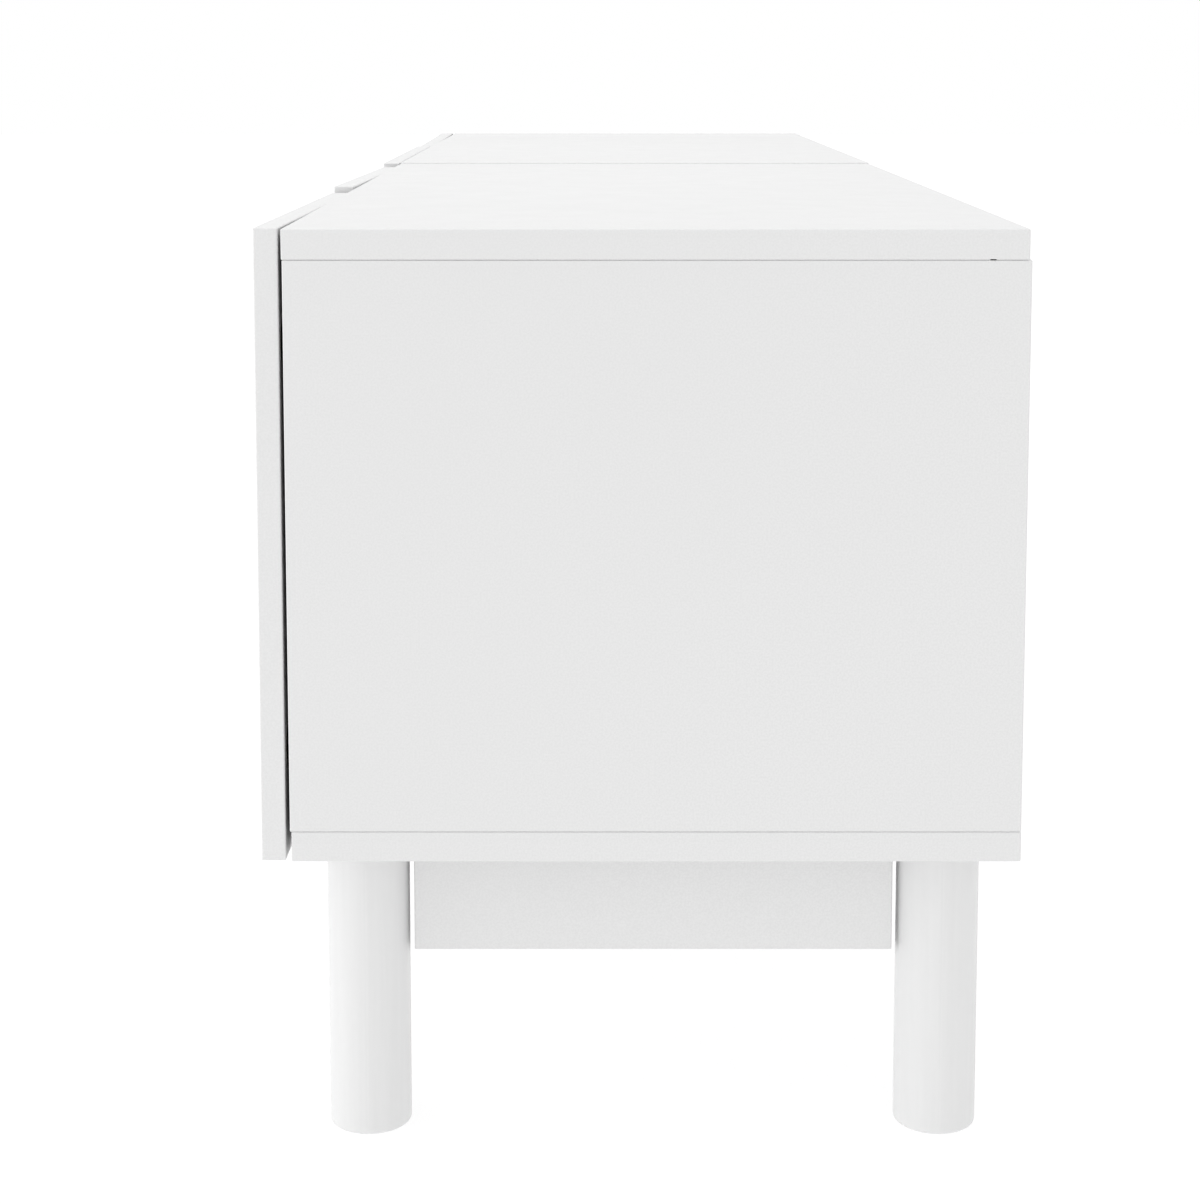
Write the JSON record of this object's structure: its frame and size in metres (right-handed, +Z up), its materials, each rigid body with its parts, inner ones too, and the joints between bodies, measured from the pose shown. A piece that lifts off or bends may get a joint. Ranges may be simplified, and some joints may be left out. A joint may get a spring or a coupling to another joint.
{
  "type": "tv stand with doors",
  "caption": "Low white TV stand: slab overlay doors on concealed hinges with push latches, shelves inside, round legs joined in pairs by cross rails.",
  "frame": {"origin": "on the floor, under the centre of the whole stand with its doors closed", "axes": "+X along the front towards the right end, -Y out of the doors, +Z up"},
  "size_m": [1.5, 0.4, 0.5014],
  "materials": {
    "white_laminate_top": "smooth satin white laminate",
    "white_laminate": "smooth satin white laminate with a matching edge band",
    "door_lacquer": "smooth satin white laminate with a matching edge band",
    "leg_paint": "satin white paint over turned wood",
    "back_board": "matte white-faced hardboard",
    "beech": "bare fluted dowel",
    "zinc_steel": "bright zinc plate",
    "nickel_steel": "nickel plate",
    "cast_zinc": "die-cast zinc",
    "grey_plastic": "moulded light grey"
  },
  "bodies": {
    "carcass": {"top_panel_right": "white_laminate_top", "top_panel_left": "white_laminate_top", "bottom_panel_right": "white_laminate", "bottom_panel_left": "white_laminate", "side_panel_right": "white_laminate", "side_panel_left": "white_laminate", "centre_partition": "white_laminate", "shelf_right": "white_laminate", "shelf_left": "white_laminate", "back_panel_right": "back_board", "back_panel_left": "back_board", "leg_front_right": "leg_paint", "leg_rear_right": "leg_paint", "leg_front_middle": "leg_paint", "leg_rear_middle": "leg_paint", "leg_front_left": "leg_paint", "leg_rear_left": "leg_paint", "cross_rail_right": "white_laminate", "cross_rail_middle": "white_laminate", "cross_rail_left": "white_laminate", "leg_bolts": "zinc_steel", "leg_inserts": "zinc_steel", "joint_plates": "zinc_steel", "joint_plate_screws": "nickel_steel", "rail_brackets": "zinc_steel", "rail_bracket_screws": "nickel_steel", "cam_locks": "cast_zinc", "cam_bolts": "nickel_steel", "dowels": "beech", "shelf_pins": "nickel_steel", "hinge_arms": "nickel_steel", "hinge_plates": "cast_zinc", "hinge_plate_screws": "nickel_steel", "latch_housings": "grey_plastic", "latch_screws": "nickel_steel"},
    "door_body_right_outer": {"door_right_outer": "door_lacquer", "hinge_cups_right_outer": "nickel_steel", "cup_screws_right_outer": "nickel_steel", "strike_plate_right_outer": "zinc_steel"},
    "link_body_right_outer": {"hinge_links_right_outer": "nickel_steel"},
    "plunger_body_right_outer": {"latch_plunger_right_outer": "grey_plastic"},
    "door_body_right_inner": {"door_right_inner": "door_lacquer", "hinge_cups_right_inner": "nickel_steel", "cup_screws_right_inner": "nickel_steel", "strike_plate_right_inner": "zinc_steel"},
    "link_body_right_inner": {"hinge_links_right_inner": "nickel_steel"},
    "plunger_body_right_inner": {"latch_plunger_right_inner": "grey_plastic"},
    "door_body_left_inner": {"door_left_inner": "door_lacquer", "hinge_cups_left_inner": "nickel_steel", "cup_screws_left_inner": "nickel_steel", "strike_plate_left_inner": "zinc_steel"},
    "link_body_left_inner": {"hinge_links_left_inner": "nickel_steel"},
    "plunger_body_left_inner": {"latch_plunger_left_inner": "grey_plastic"},
    "door_body_left_outer": {"door_left_outer": "door_lacquer", "hinge_cups_left_outer": "nickel_steel", "cup_screws_left_outer": "nickel_steel", "strike_plate_left_outer": "zinc_steel"},
    "link_body_left_outer": {"hinge_links_left_outer": "nickel_steel"},
    "plunger_body_left_outer": {"latch_plunger_left_outer": "grey_plastic"}
  },
  "joints": [
    {"name": "door_swing_right_outer", "type": "hinge", "parent": "carcass", "child": "door_body_right_outer", "pos_m": [0.7436, -0.1962, 0.333], "axis": [0, 0, 1], "range_deg": [0, 105]},
    {"name": "link_turn_right_outer", "type": "hinge", "parent": "carcass", "child": "link_body_right_outer", "pos_m": [0.7302, -0.1854, 0.333], "axis": [0, 0, 1], "range_deg": [0, 105]},
    {"name": "latch_push_right_outer", "type": "slide", "parent": "carcass", "child": "plunger_body_right_outer", "axis": [0, -1, 0], "range_m": [0, 0.0155]},
    {"name": "door_swing_right_inner", "type": "hinge", "parent": "carcass", "child": "door_body_right_inner", "pos_m": [0.0067, -0.1962, 0.333], "axis": [0, 0, -1], "range_deg": [0, 90]},
    {"name": "link_turn_right_inner", "type": "hinge", "parent": "carcass", "child": "link_body_right_inner", "pos_m": [0.0201, -0.1854, 0.333], "axis": [0, 0, -1], "range_deg": [0, 90]},
    {"name": "latch_push_right_inner", "type": "slide", "parent": "carcass", "child": "plunger_body_right_inner", "axis": [0, -1, 0], "range_m": [0, 0.0155]},
    {"name": "door_swing_left_inner", "type": "hinge", "parent": "carcass", "child": "door_body_left_inner", "pos_m": [-0.0067, -0.1962, 0.333], "axis": [0, 0, 1], "range_deg": [0, 90]},
    {"name": "link_turn_left_inner", "type": "hinge", "parent": "carcass", "child": "link_body_left_inner", "pos_m": [-0.0201, -0.1854, 0.333], "axis": [0, 0, 1], "range_deg": [0, 90]},
    {"name": "latch_push_left_inner", "type": "slide", "parent": "carcass", "child": "plunger_body_left_inner", "axis": [0, -1, 0], "range_m": [0, 0.0155]},
    {"name": "door_swing_left_outer", "type": "hinge", "parent": "carcass", "child": "door_body_left_outer", "pos_m": [-0.7436, -0.1962, 0.333], "axis": [0, 0, -1], "range_deg": [0, 105]},
    {"name": "link_turn_left_outer", "type": "hinge", "parent": "carcass", "child": "link_body_left_outer", "pos_m": [-0.7302, -0.1854, 0.333], "axis": [0, 0, -1], "range_deg": [0, 105]},
    {"name": "latch_push_left_outer", "type": "slide", "parent": "carcass", "child": "plunger_body_left_outer", "axis": [0, -1, 0], "range_m": [0, 0.0155]}
  ],
  "couplings": [
    {"joint": "link_turn_right_outer", "follows": "door_swing_right_outer", "ratio": 0.98},
    {"joint": "latch_push_right_outer", "follows": "door_swing_right_outer", "m_per_rad": 0.00819},
    {"joint": "link_turn_right_inner", "follows": "door_swing_right_inner", "ratio": 0.98},
    {"joint": "latch_push_right_inner", "follows": "door_swing_right_inner", "m_per_rad": 0.00955},
    {"joint": "link_turn_left_inner", "follows": "door_swing_left_inner", "ratio": 0.98},
    {"joint": "latch_push_left_inner", "follows": "door_swing_left_inner", "m_per_rad": 0.00955},
    {"joint": "link_turn_left_outer", "follows": "door_swing_left_outer", "ratio": 0.98},
    {"joint": "latch_push_left_outer", "follows": "door_swing_left_outer", "m_per_rad": 0.00819}
  ]
}
